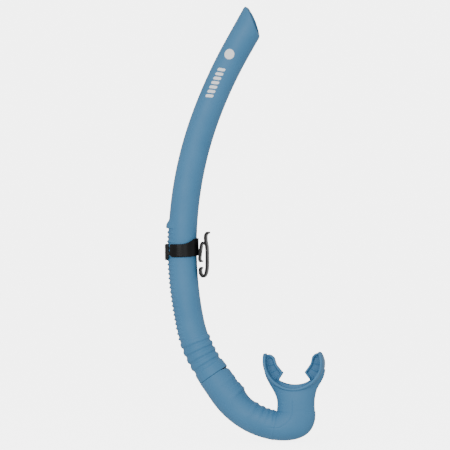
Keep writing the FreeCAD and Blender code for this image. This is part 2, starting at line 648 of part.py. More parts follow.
def build_strap_hook():
    """An open loop bent from flat bar: finger tip, long leg, bottom bend and a barbed tongue."""
    depth = dim["hook_depth"]
    tongue = dim["tongue_x"] + dim["tongue_bar"] / 2
    leg = dim["leg_x"] + dim["leg_bar"] / 2
    stud = dim["stud_z"]
    main = [in_plane(tongue + 0.5, stud - 13.9), in_plane(tongue - 0.75, stud - 14.9),
            in_plane(tongue - 0.75, stud - 20.0), in_plane(tongue + 2.5, stud - 23.7),
            in_plane(leg - 0.8, stud - 20.0), in_plane(leg, stud - 13.0), in_plane(leg, stud + 5.5),
            in_plane(leg - 1.1, stud + 10.8), in_plane(leg - 1.1, stud + 17.6),
            in_plane(leg + 1.6, stud + 20.8)]
    inner = [in_plane(tongue + 1.3, stud - 7.3), in_plane(tongue - 0.7, stud - 7.3),
             in_plane(tongue - 0.3, stud - 0.5), in_plane(tongue + 0.8, stud + 9.0),
             in_plane(tongue + 2.4, stud + 11.4), in_plane(leg - 1.3, stud + 9.2)]
    solids = []
    for points, part in ((main, "leg"), (inner, "tongue")):
        wire = rounded_path(points, dim[part + "_corner"])
        band = wire.makeOffset2D(dim[part + "_bar"] / 2, 0, False, False, False)
        face = Part.Face(band)
        face.translate(V(0, -depth / 2, 0))
        solids.append(face.extrude(V(0, depth, 0)))
    shape = solids[0].fuse(solids[1])
    clear = dim["pin_clearance"]
    neck = Part.makeCylinder(dim["stud_radius"] + clear, 6, V(tongue - 3, 0, stud), X_AXIS)
    head_start = dim["tongue_x"] + dim["tongue_bar"] - dim["stud_head"] - clear
    head = Part.makeCylinder(dim["stud_head_radius"] + clear, 3, V(head_start, 0, stud), X_AXIS)
    shape = shape.cut(neck).cut(head)
    hook = doc.addObject("Part::Feature", "strap_hook")
    hook.Label = "strap_hook"
    hook.Shape = shape.removeSplitter()
    hook.Placement = keeper
    return hook


# ------------------------------------------------------- build, check and export
pieces = [
    build_barrel(),
    build_coupling_sleeve(),
    build_mouthpiece_elbow(),
    build_keeper_collar(),
    build_release_pad(),
    build_strap_hook(),
]
doc.recompute()
for item in doc.Objects:
    if "Invalid" in item.State or "Error" in item.State:
        raise RuntimeError("%s did not compute: %s" % (item.Name, item.State))
for piece in pieces:
    shape = piece.Shape
    if shape.isNull() or not shape.isValid():
        raise RuntimeError("%s has no valid shape" % piece.Label)
    if len(shape.Solids) != 1:
        raise RuntimeError("%s has %d solids" % (piece.Label, len(shape.Solids)))
    shape.exportStep("parts/%s.step" % piece.Label)
    print(piece.Label, round(shape.Volume), shape.BoundBox)
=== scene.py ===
import math
from itertools import product

import bpy
import numpy as np
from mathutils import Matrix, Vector


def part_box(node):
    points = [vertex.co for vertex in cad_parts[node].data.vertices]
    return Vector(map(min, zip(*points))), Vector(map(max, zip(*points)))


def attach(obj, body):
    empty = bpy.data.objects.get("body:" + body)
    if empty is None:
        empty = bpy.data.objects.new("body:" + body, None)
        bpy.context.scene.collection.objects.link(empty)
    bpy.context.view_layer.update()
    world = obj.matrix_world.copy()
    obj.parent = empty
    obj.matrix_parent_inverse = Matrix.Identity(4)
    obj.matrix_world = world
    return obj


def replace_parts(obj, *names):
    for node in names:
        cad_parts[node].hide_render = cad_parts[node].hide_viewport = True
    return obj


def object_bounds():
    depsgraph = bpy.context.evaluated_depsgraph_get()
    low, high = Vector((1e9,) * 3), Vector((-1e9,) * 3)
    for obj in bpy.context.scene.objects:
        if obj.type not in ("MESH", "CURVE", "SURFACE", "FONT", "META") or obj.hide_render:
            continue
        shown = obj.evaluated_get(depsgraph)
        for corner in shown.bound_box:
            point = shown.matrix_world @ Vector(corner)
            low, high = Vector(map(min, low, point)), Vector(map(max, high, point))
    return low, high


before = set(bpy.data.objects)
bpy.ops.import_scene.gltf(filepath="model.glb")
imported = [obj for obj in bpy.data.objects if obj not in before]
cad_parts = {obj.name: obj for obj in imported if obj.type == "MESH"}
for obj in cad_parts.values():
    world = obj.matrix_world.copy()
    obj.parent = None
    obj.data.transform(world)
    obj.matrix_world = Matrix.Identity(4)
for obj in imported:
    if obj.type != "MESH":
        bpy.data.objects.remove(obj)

# A one-pipe swimming snorkel: soft blue tube and mouthpiece elbow, black keeper clip.
# Shapes are worked out in millimetres in the CAD frame (origin at the mouth port, +Z out of it,
# X across the bend, Y across the width) and turned into metres when their mesh is made.

cad_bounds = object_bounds()
MM = 0.001

# ------------------------------------------------------------------ the design's sizes, in mm
SEAM_X, SEAM_Z, SEAM_TILT = -80.9, 11.1, 34.7
FOOT_STRAIGHT, TOP_STRAIGHT = 8.0, 41.0
TUBE_BENDS = ((121.0, 22.6), (373.0, 32.7), (469.0, 9.0))
TUBE_LENGTH = FOOT_STRAIGHT + TOP_STRAIGHT + sum(r * math.radians(a) for r, a in TUBE_BENDS)
BORE_RADIUS, SEAT_RADIUS = 10.5, 12.0

SOCKET_RADIUS, SOCKET_LENGTH = 16.5, 20.0
SOCKET_HALF_DEPTH = 16.3
BEND_RADIUS, BEND_END = 77.2, 80.0
CROTCH = (-16.8, -24.8)
ELBOW_WALL = 2.7

SHIELD_CENTRE_Z, SHIELD_INNER, SHIELD_OUTER = 26.4, 27.6, 31.1
SHIELD_HALF_DEPTH, SHIELD_TIP_Z, SHIELD_CORNER = 14.5, 33.9, 12.0
MOUTH_TURN = 2.0

KEEPER_X, KEEPER_Z, KEEPER_TILT = -112.6, 135.5, 0.6
PIVOT_X, PIVOT_Z = -13.2, -3.0
STUD_Z = -3.2

# ------------------------------------------------------------------ the marks along the tube
RING_COUNT, RING_START_ANGLE, RING_PITCH_ANGLE, RING_PROUD = 4, 3.9, 3.55, 1.15
LOW_TOOTH_COUNT, LOW_TOOTH_START_ANGLE, LOW_TOOTH_PITCH_ANGLE = 3, 17.5, 2.37
RACK_TOOTH_COUNT, RACK_START_ANGLE, RACK_PITCH_ANGLE, STOP_GAP_ANGLE = 21, 0.55, 0.684, 0.72
COLLAR_RADIUS, COLLAR_TAPER, COLLAR_CHAMFER, COLLAR_CHAMFER_HEIGHT = 16.3, 0.05, 0.3, 0.6
COLLAR_FADE_START, COLLAR_FADE_END = 8.4, 10.9
KEY_NOTCH_HALF_WIDTH, KEY_NOTCH_HEIGHT, KEY_NOTCH_RADIUS = 1.1, 1.25, 13.6
SLANT_LENGTH, LIP = 40.0, 0.9

# ------------------------------------------------------------------ how finely things are meshed
TUBE_SIDES = 160
MARKED_LENGTH, MARKED_STEP, PLAIN_STEP = 160.0, 0.34, 2.0
ELBOW_CELL, BAND_CELL, PAD_CELL, HOOK_CELL = 0.45, 0.24, 0.22, 0.24

# ------------------------------------------------------------------ the studio
STAGE_GLOW = 4.5
KEY_POWER, FILL_POWER, WORLD_LIGHT = 21.0, 10.0, 0.78

# ------------------------------------------------------------------ small field tools
# A field is a function of x, y and z that is negative inside a shape, near its distance outside.
def smooth_min(a, b, reach):
    """Union of two fields, with a fillet about as wide as reach where they meet."""
    share = np.clip(0.5 + 0.5 * (b - a) / reach, 0, 1)
    return b * (1 - share) + a * share - reach * share * (1 - share)


def smooth_max(a, b, reach):
    """What two fields share, with an edge rounded by about reach."""
    return -smooth_min(-a, -b, reach)


def smooth_step(value, low, high):
    """0 below low and 1 above high, with no corner between."""
    share = np.clip((value - low) / (high - low), 0, 1)
    return share * share * (3 - 2 * share)


def bump(distance, half_width):
    """1 at distance 0, falling smoothly to 0 at half_width."""
    share = np.clip(np.abs(distance) / half_width, 0, 1)
    return (1 - share * share) ** 2


def smooth_table(value, places, sizes):
    """A smooth curve through a few (place, size) pairs."""
    places, sizes = np.array(places, float), np.array(sizes, float)
    slopes = np.gradient(sizes, places)
    value = np.clip(value, places[0], places[-1])
    index = np.clip(np.searchsorted(places, value) - 1, 0, len(places) - 2)
    width = places[index + 1] - places[index]
    share = (value - places[index]) / width
    low, high = sizes[index], sizes[index + 1]
    rise = slopes[index] * width
    run = slopes[index + 1] * width
    square, cube = share**2, share**3
    return (
        (2 * cube - 3 * square + 1) * low
        + (cube - 2 * square + share) * rise
        + (3 * square - 2 * cube) * high
        + (cube - square) * run
    )


def oval_field(across, depth, half_width, half_depth):
    """Field of an oval section, from the offsets along its two half axes."""
    ratio = np.sqrt((across / half_width) ** 2 + (depth / half_depth) ** 2) + 1e-6
    slope = np.sqrt((across / half_width**2) ** 2 + (depth / half_depth**2) ** 2) + 1e-7
    return ratio * (ratio - 1) / slope


def segment_distance(x, z, start, end):
    """Distance in the XZ plane from a straight segment, and the share of the way along it."""
    along_x, along_z = end[0] - start[0], end[1] - start[1]
    share = ((x - start[0]) * along_x + (z - start[1]) * along_z) / (along_x**2 + along_z**2)
    share = np.clip(share, 0, 1)
    return np.hypot(x - start[0] - share * along_x, z - start[1] - share * along_z), share


def path_distance(x, z, points):
    """Distance in the XZ plane from a run of segments."""
    return np.minimum.reduce(
        [segment_distance(x, z, a, b)[0] for a, b in zip(points, points[1:])]
    )


def polygon_field(x, z, corners):
    """Signed distance in the XZ plane from a closed outline."""
    distance = path_distance(x, z, corners + corners[:1])
    inside = np.zeros(np.broadcast(x, z).shape, bool)
    for (x0, z0), (x1, z1) in zip(corners, corners[1:] + corners[:1]):
        crosses = (z0 > z) != (z1 > z)
        if z0 != z1:
            inside ^= crosses & (x < x0 + (z - z0) * (x1 - x0) / (z1 - z0))
    return np.where(inside, -distance, distance)


def curve_through(points, steps=8):
    """More points on a smooth curve through the given ones."""
    ends = [tuple(2 * np.array(points[0]) - points[1]), tuple(2 * np.array(points[-1]) - points[-2])]
    known = np.array([ends[0]] + list(points) + [ends[1]], float)
    result = []
    for a, b, c, d in zip(known, known[1:], known[2:], known[3:]):
        for step in range(steps):
            t = step / steps
            result.append(tuple(0.5 * (2 * b + (c - a) * t + (2 * a - 5 * b + 4 * c - d) * t**2
                                       + (3 * b - a - 3 * c + d) * t**3)))
    return result + [tuple(known[-2])]


# ------------------------------------------------------------------ meshes
def make_object(name, vertices, faces):
    """A smooth-shaded object from vertices in millimetres in the CAD frame."""
    mesh = bpy.data.meshes.new(name)
    mesh.from_pydata((np.asarray(vertices) * MM).tolist(), [], np.asarray(faces).tolist())
    mesh.shade_smooth()
    mesh.validate()
    mesh.update()
    thing = bpy.data.objects.new(name, mesh)
    bpy.context.scene.collection.objects.link(thing)
    return thing


def pull_onto_surface(field, points, cell):
    """Moves points along the field's slope until they lie on its surface."""
    step = cell * 0.2
    for _ in range(3):
        value = field(*points.T)
        slope = np.stack(
            [(field(*(points + move).T) - field(*(points - move).T)) / (2 * step)
             for move in np.eye(3) * step], axis=1)
        shift = slope * (value / np.maximum((slope**2).sum(1), 0.05))[:, None]
        length = np.linalg.norm(shift, axis=1, keepdims=True)
        points = points - shift * np.minimum(1, 0.5 * cell / np.maximum(length, 1e-9))
    return points


def skin_field(field, low, high, cell):
    """Vertices and quads of the surface where a field is zero: one vertex in each crossed cell."""
    axes = [np.arange(a, b + cell, cell) for a, b in zip(low, high)]
    grid = [axes[0][:, None, None], axes[1][None, :, None], axes[2][None, None, :]]
    value = np.broadcast_to(field(*grid), [len(a) for a in axes]).astype(np.float32)
    inside = value < 0
    shape = np.array(value.shape) - 1

    def part(array, offset):
        i, j, k = offset
        return array[i:shape[0] + i, j:shape[1] + j, k:shape[2] + k]

    corners = sum(part(inside, offset).astype(np.int8) for offset in product((0, 1), repeat=3))
    cells = np.argwhere((corners > 0) & (corners < 8))
    index = np.full(shape, -1)
    index[tuple(cells.T)] = np.arange(len(cells))
    total = np.zeros((len(cells), 3))
    count = np.zeros((len(cells), 1))
    for axis in range(3):
        for offset in product((0, 1), repeat=3):
            if offset[axis]:
                continue
            start = cells + offset
            end = start.copy()
            end[:, axis] += 1
            a, b = value[tuple(start.T)], value[tuple(end.T)]
            crossed = (a < 0) != (b < 0)
            share = np.where(crossed, a / np.where(crossed, a - b, 1), 0)
            place = start.astype(float)
            place[:, axis] += share
            total += place * crossed[:, None]
            count += crossed[:, None]
    points = np.array([a[0] for a in axes]) + cell * total / count
    faces = []
    for axis in range(3):
        one, two = (axis + 1) % 3, (axis + 2) % 3
        ahead = [slice(None)] * 3
        behind = [slice(None)] * 3
        ahead[axis], behind[axis] = slice(1, None), slice(None, -1)
        changes = inside[tuple(behind)] != inside[tuple(ahead)]
        edges = np.argwhere(changes)
        edges = edges[(edges[:, one] > 0) & (edges[:, two] > 0)
                      & (edges[:, one] < shape[one]) & (edges[:, two] < shape[two])]
        around = []
        for step_one, step_two in ((1, 1), (0, 1), (0, 0), (1, 0)):
            neighbour = edges.copy()
            neighbour[:, one] -= step_one
            neighbour[:, two] -= step_two
            around.append(index[tuple(neighbour.T)])
        quads = np.stack(around, axis=1)
        outward = inside[tuple(edges.T)]
        quads[outward] = quads[outward][:, ::-1]
        faces.append(quads)
    return pull_onto_surface(field, points, cell), np.concatenate(faces)


# ------------------------------------------------------------------ the soft tube
def tube_line(height):
    """Centre x and z, and heading in radians clockwise from straight up, `height` mm of tube
    above the seam."""
    height = np.asarray(height, float)
    x, z, heading = (np.zeros_like(height) for _ in range(3))
    start, here_x, here_z, turn = 0.0, SEAM_X, SEAM_Z, -math.radians(SEAM_TILT)
    runs = [(FOOT_STRAIGHT, None)]
    runs += [(radius * math.radians(angle), radius) for radius, angle in TUBE_BENDS]
    runs += [(TOP_STRAIGHT, None)]
    for length, radius in runs:
        along = np.append(height - start, length)
        if radius is None:
            now = np.full_like(along, turn)
            to_x = here_x + math.sin(turn) * along
            to_z = here_z + math.cos(turn) * along
        else:
            now = turn + along / radius
            to_x = here_x + radius * (math.cos(turn) - np.cos(now))
            to_z = here_z + radius * (np.sin(now) - math.sin(turn))
        here = (height >= start) | (start == 0.0)
        x = np.where(here, to_x[:-1].reshape(height.shape), x)
        z = np.where(here, to_z[:-1].reshape(height.shape), z)
        heading = np.where(here, now[:-1].reshape(height.shape), heading)
        start, here_x, here_z, turn = start + length, to_x[-1], to_z[-1], now[-1]
    return x, z, heading


def on_tube(height, angle, radius):
    """Points on the tube: angle 0 is its back, where the rack is, and 90 degrees faces -Y."""
    x, z, heading = tube_line(height)
    back = radius * np.cos(angle)
    return np.stack([x - back * np.cos(heading), -radius * np.sin(angle) + 0 * x,
                     z + back * np.sin(heading)], axis=-1)


def ring_places():
    """Heights of the full rings at the tube's foot."""
    foot_radius = TUBE_BENDS[0][0]
    angles = [RING_START_ANGLE + RING_PITCH_ANGLE * i for i in range(RING_COUNT)]
    return [FOOT_STRAIGHT + foot_radius * math.radians(angle) for angle in angles]


def tooth_places():
    """Heights of the rack's teeth, and of the stop wedge above them."""
    foot_radius, foot_angle = TUBE_BENDS[0]
    low_angles = [LOW_TOOTH_START_ANGLE + LOW_TOOTH_PITCH_ANGLE * i for i in range(LOW_TOOTH_COUNT)]
    low = [FOOT_STRAIGHT + foot_radius * math.radians(angle) for angle in low_angles]
    bend_start = FOOT_STRAIGHT + foot_radius * math.radians(foot_angle)
    rack_radius = TUBE_BENDS[1][0]
    rack_angles = [RACK_START_ANGLE + RACK_PITCH_ANGLE * i for i in range(RACK_TOOTH_COUNT)]
    rack = [bend_start + rack_radius * math.radians(angle) for angle in rack_angles]
    stop = rack[-1] + rack_radius * math.radians(STOP_GAP_ANGLE)
    return low + rack, stop


def plain_radius(height):
    """The tube is stoutest at its foot, swells a little round the middle and thins to the top."""
    return smooth_table(height, (0, 40, 60, 80, 100, 165, 185, 240, 300, 340, 390),
                        (14.65, 14.5, 14.2, 14.2, 14.35, 14.35, 14.3, 14.1, 13.95, 14.1, 14.25))


def tooth_reach(angle):
    """How much of a tooth's height is left, going round the tube from its back."""
    return smooth_step(np.cos(angle), 0.35, 0.95)


def tube_radius(height, angle):
    """The tube's outside with its foot collar, rings, teeth and stop wedge."""
    radius = plain_radius(height) + 0 * angle
    chamfer = COLLAR_CHAMFER * np.maximum(0, 1 - height / COLLAR_CHAMFER_HEIGHT) ** 2
    collar = COLLAR_RADIUS - COLLAR_TAPER * height - chamfer
    radius += (collar - radius) * (1 - smooth_step(height, COLLAR_FADE_START, COLLAR_FADE_END))
    sides = 0.75 + 0.25 * np.cos(angle) ** 2
    for place in ring_places():
        radius += sides * RING_PROUD * (1 - smooth_step(np.abs(height - place), 1.0, 3.3))
    teeth, stop = tooth_places()
    nearest = np.min(np.abs(height[..., None] - np.array(teeth)), axis=-1)
    ridge = 1.55 - 1.05 * np.sqrt((nearest / 1.1) ** 2 + 0.03)
    radius += tooth_reach(angle) * np.where(nearest < 3.0, np.maximum(ridge, 0.1), 0)
    above = np.maximum(height - stop - 1.9, 0) / 6.6
    below = np.maximum(stop - 0.4 - height, 0) / 1.1
    wedge = 2.7 * (1 - smooth_step(above, 0, 1)) * (1 - smooth_step(below, 0, 1))
    return radius + smooth_step(np.cos(angle), 0.45, 1.0) * wedge


def top_edge(across):
    """Where the slanted cut ends the tube, across = -14 at the back to 14 at the front."""
    return TUBE_LENGTH + smooth_table(across, (-15, -13.2, -7, 0, 7, 13, 15),
                                      (-2.6, -0.6, -2.6, -7.4, -13.3, -18.8, -20.6))


def grid_faces(rows, columns):
    """Quads of a grid whose columns close round the tube."""
    row, column = np.meshgrid(np.arange(rows - 1), np.arange(columns), indexing="ij")
    after = (column + 1) % columns
    quads = np.stack([row * columns + column, row * columns + after,
                      (row + 1) * columns + after, (row + 1) * columns + column], axis=-1)
    return quads.reshape(-1, 4)


def build_tube():
    """Rings of points up the outside, over the rounded lip and down the bore to the seat."""
    angles = np.arange(TUBE_SIDES) * 2 * math.pi / TUBE_SIDES
    slanted_from = TUBE_LENGTH - SLANT_LENGTH
    outside = np.concatenate([np.arange(0, MARKED_LENGTH, MARKED_STEP),
                              np.arange(MARKED_LENGTH, slanted_from, PLAIN_STEP),
                              np.linspace(slanted_from, TUBE_LENGTH, 24)])
    rows = []

    def add_row(height, radius, lowered=0.0):
        """One ring of points; rows above the slant's start lean until they match the cut."""
        share = max(0.0, (height - slanted_from) / SLANT_LENGTH)
        end = top_edge(-radius * np.cos(angles))
        place = height + share * (end - TUBE_LENGTH) - lowered
        rows.append(on_tube(place, angles, radius))

    for height in outside[:-1]:
        radius = tube_radius(np.full_like(angles, height), angles)
        off_key = np.abs(np.sin(angles)) * radius
        in_notch = (np.cos(angles) > 0.9) & (off_key < KEY_NOTCH_HALF_WIDTH)
        add_row(height, np.where(in_notch & (height < KEY_NOTCH_HEIGHT), KEY_NOTCH_RADIUS, radius))
    top_radius = plain_radius(TUBE_LENGTH)
    for turn in np.linspace(0, math.pi / 2, 6):
        add_row(TUBE_LENGTH, np.full_like(angles, top_radius - LIP * (1 - math.cos(turn))),
                LIP * (1 - math.sin(turn)))
    for turn in np.linspace(math.pi / 2, 0, 6):
        add_row(TUBE_LENGTH, np.full_like(angles, BORE_RADIUS + LIP * (1 - math.cos(turn))),
                LIP * (1 - math.sin(turn)))
    for height in np.concatenate([np.linspace(TUBE_LENGTH, slanted_from, 20)[1:],
                                  np.linspace(slanted_from, FOOT_STRAIGHT, 120)[1:]]):
        add_row(height, np.full_like(angles, BORE_RADIUS))
    for height in (FOOT_STRAIGHT, 0.0):
        add_row(height, np.full_like(angles, SEAT_RADIUS))
    points = np.concatenate(rows)
    faces = grid_faces(len(rows), len(angles))
    last = (len(rows) - 1) * TUBE_SIDES
    here = np.arange(TUBE_SIDES)
    after = (here + 1) % TUBE_SIDES
    closing = np.stack([here + last, after + last, after, here], axis=-1)
    return make_object("soft_tube", points, np.concatenate([faces, closing]))


# ------------------------------------------------------------------ the printed mark
INK_LOW, INK_HIGH, MARK_ANGLE = 0.02, 0.09, 81
BAR_COUNT, BAR_START, BAR_PITCH, BAR_WIDTH, BAR_LENGTH, BAR_SLANT = 7, 286.6, 4.75, 3.3, 7.8, 0.3
DOT_HEIGHT, DOT_RADIUS = 334.0, 5.2


def build_mark():
    """A plain row of slanted bars and a dot, printed in white on the side of the tube."""
    points, faces = [], []

    def add_patch(outline, rows, columns):
        """One thin raised patch; outline(u, v) gives millimetres along and round the tube."""
        start = len(points)
        for lift in (INK_LOW, INK_HIGH):
            for i in range(rows + 1):
                for j in range(columns + 1):
                    along, around = outline(i / rows, j / columns)
                    height = np.array(along)
                    radius = float(plain_radius(height)) + lift
                    angle = np.array(math.radians(MARK_ANGLE) + around / radius)
                    points.append(on_tube(height, angle, radius))
        layer = (rows + 1) * (columns + 1)
        for i in range(rows):
            for j in range(columns):
                a = start + i * (columns + 1) + j
                b, c, d = a + 1, a + columns + 2, a + columns + 1
                faces.append((a, d, c, b))
                faces.append((a + layer, b + layer, c + layer, d + layer))
        rim = [(i, 0) for i in range(rows)] + [(rows, j) for j in range(columns)]
        rim += [(i, columns) for i in range(rows, 0, -1)] + [(0, j) for j in range(columns, 0, -1)]
        around = [start + i * (columns + 1) + j for i, j in rim]
        for a, b in zip(around, around[1:] + around[:1]):
            faces.append((a, b, b + layer, a + layer))

    def bar(first):
        def outline(u, v):
            across = (u - 0.5) * BAR_LENGTH
            round_off = 0.25 * (2 * abs(u - 0.5)) ** 8
            share = v * (1 - 2 * round_off) + round_off
            return first + share * BAR_WIDTH + across * BAR_SLANT, across
        return outline

    def dot(u, v):
        x, y = 2 * u - 1, 2 * v - 1
        along = DOT_RADIUS * x * math.sqrt(1 - y * y / 2)
        return DOT_HEIGHT + along, DOT_RADIUS * y * math.sqrt(1 - x * x / 2)

    for number in range(BAR_COUNT):
        add_patch(bar(BAR_START + BAR_PITCH * number), 10, 4)
    add_patch(dot, 12, 12)
    return make_object("printed_mark", np.array(points).reshape(-1, 3), faces)


# ------------------------------------------------------------------ the mouthpiece elbow
TILT = math.radians(SEAM_TILT)
TRAVEL = (math.sin(TILT), -math.cos(TILT))
INWARD = (math.cos(TILT), math.sin(TILT))
BEND_X = SEAM_X + TRAVEL[0] * SOCKET_LENGTH + INWARD[0] * BEND_RADIUS
BEND_Z = SEAM_Z + TRAVEL[1] * SOCKET_LENGTH + INWARD[1] * BEND_RADIUS
RIBS = (42.0, 60.8, 67.3, 72.6, 77.0)
SOCKET_BORE_RADIUS, SOCKET_BORE_DEPTH, AIRWAY_TOP = 12.1, 18.0, 14.0
SEAM_RECESS, SEAM_RIM_RADIUS, SEAM_RIM_RECESS = 0.9, 15.75, 0.2


def seam_offsets(x, z):
    """Distance below the seam along the socket, and towards the inside of the bend."""
    along = (x - SEAM_X) * TRAVEL[0] + (z - SEAM_Z) * TRAVEL[1]
    across = (x - SEAM_X) * INWARD[0] + (z - SEAM_Z) * INWARD[1]
    return along, across


def outer_reach(heading):
    """From the crotch to the outside of the elbow: the long bend first, then a squarish corner."""
    return smooth_table(np.degrees(heading), (80, 90, 101, 114, 128, 138, 147, 156, 165, 180),
                        (28.9, 29.1, 29.8, 31.6, 34.3, 36.4, 37.9, 38.6, 38.7, 38.1))


def bend_edges(heading):
    """Radii of the outside and the inside of the long bend, about its centre."""
    outer = BEND_RADIUS + SOCKET_RADIUS - 0.3 * smooth_step(heading, 62, 84)
    inner = smooth_table(heading, (30, 41, 46, 52, 60, 70, 85),
                         (60.2, 60.0, 61.5, 62.9, 63.4, 63.9, 64.2))
    return outer, inner


def lower_run(x, y, z, inset, ribs):
    """The socket and the long bend, up to the crotch."""
    along, across = seam_offsets(x, z)
    to_x, to_z = BEND_X - x, BEND_Z - z
    distance = np.hypot(to_x, to_z)
    heading = np.degrees(np.arctan2(to_z, to_x))
    outer, inner = bend_edges(heading)
    straight = along < SOCKET_LENGTH
    half = np.where(straight, SOCKET_RADIUS, (outer - inner) / 2)
    offset = np.where(straight, across, (outer + inner) / 2 - distance)
    field = oval_field(offset, y, half - inset, np.minimum(half, SOCKET_HALF_DEPTH) - inset)
    if ribs:
        inner_side = smooth_step(offset / half, -0.25, 0.9)
        height = sum(bump(heading - place, 2.7) for place in RIBS)
        height = np.where(straight, 0.5 * bump(along - 12.5, 3.0), height)
        field = field - 0.85 * (height - 0.25) * inner_side
    past_x, past_z = math.sin(math.radians(BEND_END)), -math.cos(math.radians(BEND_END))
    past = (x - CROTCH[0]) * past_x + (z - CROTCH[1]) * past_z
    return np.maximum(field, past - 0.6), past


def neck_run(x, y, z, inset, past):
    """The fan round the crotch and the neck above it."""
    to_x, to_z = CROTCH[0] - x, CROTCH[1] - z
    distance = np.hypot(to_x, to_z)
    heading = np.arctan2(to_z, to_x)
    heading = np.where(heading < 0, heading + 2 * math.pi, heading)
    heading = np.clip(heading, math.radians(BEND_END), math.pi)
    fan_half = outer_reach(heading) / 2
    fan_depth = smooth_table(np.degrees(heading), (80, 105, 130, 155, 180),
                             (14.4, 14.2, 13.9, 13.5, 13.2))
    if inset:
        width = smooth_table(z, (-26, -19, -12, -4, 5, 12), (16.4, 15.8, 15.2, 12.6, 12.0, 12.0))
        depth = smooth_table(z, (-26, -19, -12, -4, 5, 12), (10.5, 10.2, 9.4, 7.4, 7.0, 7.0))
    else:
        width = smooth_table(z, (-26, -20, -12.5, -7, -3, 0, 3, 7, 11, 15, 40),
                             (19.3, 18.8, 19.1, 20.6, 22.2, 23.8, 25.6, 27.8, 29.5, 30.5, 31.0))
        depth = smooth_table(z, (-26, -12, -4, 8, 20, 40), (13.2, 13.1, 12.9, 12.5, 12.0, 11.0))
    middle = smooth_table(z, (-26, -12, -7, -2, 6, 40), (1.7, 1.6, 1.1, 0.5, 0.5, 0.0))
    neck = z >= CROTCH[1]
    offset = np.where(neck, middle - x, fan_half - distance)
    half = np.where(neck, width, fan_half - inset)
    field = oval_field(offset, y, half, np.where(neck, depth, fan_depth - inset))
    return np.where(neck, field, np.maximum(field, -past - 0.6))


def contour_groove(x, z):
    """A faint line moulded on each side, round the inside of the bend."""
    path = curve_through([(-0.6, -12.0), (-0.6, -20.0), (-0.9, -27.2), (-5.2, -34.2),
                          (-12.0, -39.8), (-17.6, -40.9), (-28.5, -39.8)], 5)
    ends = smooth_step(z, -9.0, -15.0) * smooth_step(x, -29.0, -21.0)
    return bump(path_distance(x, z, path), 0.8) * ends


def neck_ribs(x, z):
    """The last few ribs fan round the crotch and fade on the neck."""
    total = 0
    for start, end in (((-17.5, -29.5), (-17.2, -39.0)), ((-21.0, -29.5), (-21.0, -38.0)),
                       ((-14.5, -16.5), (-7.0, -15.8)), ((-14.5, -21.0), (-7.0, -20.4))):
        distance, share = segment_distance(x, z, start, end)
        total = total + bump(distance, 1.1) * (1 - smooth_step(share, 0.4, 1.0))
    return total


def in_mouth(x, z, shift=0.0):
    """X and Z turned with the mouth end, which sits slightly askew on the neck."""
    turn = math.radians(MOUTH_TURN)
    x, z = x - shift, z - SHIELD_CENTRE_Z
    return (x * math.cos(turn) + z * math.sin(turn),
            z * math.cos(turn) - x * math.sin(turn) + SHIELD_CENTRE_Z)


def shield_field(x, y, z):
    """The curved plate between lips and gums, with its rounded ends."""
    x, z = in_mouth(x, z)
    lean = np.maximum(z - 24, 0) ** 2
    x = x * (1 + np.where(x > 0, 0.0008 * lean + 0.004 * np.maximum(z - 18, 0), 0.0001 * lean))
    radial = np.hypot(x, np.minimum(z - SHIELD_CENTRE_Z, 0))
    outer = SHIELD_OUTER - 1.4 * (y / SHIELD_HALF_DEPTH) ** 4
    thin = 0.3 * smooth_step(z, 22, 34)
    plate = smooth_max(radial - outer + thin, SHIELD_INNER - radial, 0.8)
    side = np.abs(y) - (SHIELD_HALF_DEPTH - SHIELD_CORNER)
    end = z - (SHIELD_TIP_Z - SHIELD_CORNER)
    outline = (np.hypot(np.maximum(side, 0), np.maximum(end, 0))
               + np.minimum(np.maximum(side, end), 0) - SHIELD_CORNER)
    return smooth_max(plate, outline, 1.1)


def port_lip(x, y, z):
    """A low collar round the port, inside the shield."""
    x, z = in_mouth(x, z)
    radial = np.hypot(x, z - SHIELD_CENTRE_Z)
    return smooth_max(oval_field(x, y, 18.5, 9.6), 24.6 + 0.0030 * x**2 - radial, 0.8)


TAB = [(17.4, 3.6), (15.6, 6.9), (10.7, 13.9), (14.4, 18.6), (17.0, 22.2), (18.0, 25.6),
       (18.8, 28.9), (21.2, 31.6), (23.6, 32.6), (28.4, 32.6), (28.6, 20.0), (24.0, 9.0)]


def bite_tabs(x, y, z):
    """A wing on each side, with a raised lug along its inner edge and grip bars on its faces."""
    x, z = in_mouth(x, z, -0.6)
    side, depth = np.abs(x), np.abs(y)
    outline = polygon_field(side, z, TAB)
    radial = np.hypot(x, np.minimum(z - SHIELD_CENTRE_Z, 0))
    wing = smooth_max(outline, depth - 1.5, 0.6)
    edge = smooth_max(outline, -outline - 2.1, 0.5)
    lug = smooth_max(smooth_max(edge, radial - 25.2, 0.8), depth - 4.3, 1.2)
    field = smooth_min(wing, lug, 0.8)
    for angle in (-8.0, 9.0, 26.0, 43.0):
        turn = math.radians(angle)
        start = (20.6 * math.cos(turn), SHIELD_CENTRE_Z - 20.6 * math.sin(turn))
        end = (26.5 * math.cos(turn), SHIELD_CENTRE_Z - 26.5 * math.sin(turn))
        distance, _ = segment_distance(side, z, start, end)
        field = smooth_min(field, np.hypot(distance, depth - 1.2) - 1.1, 0.7)
    return field


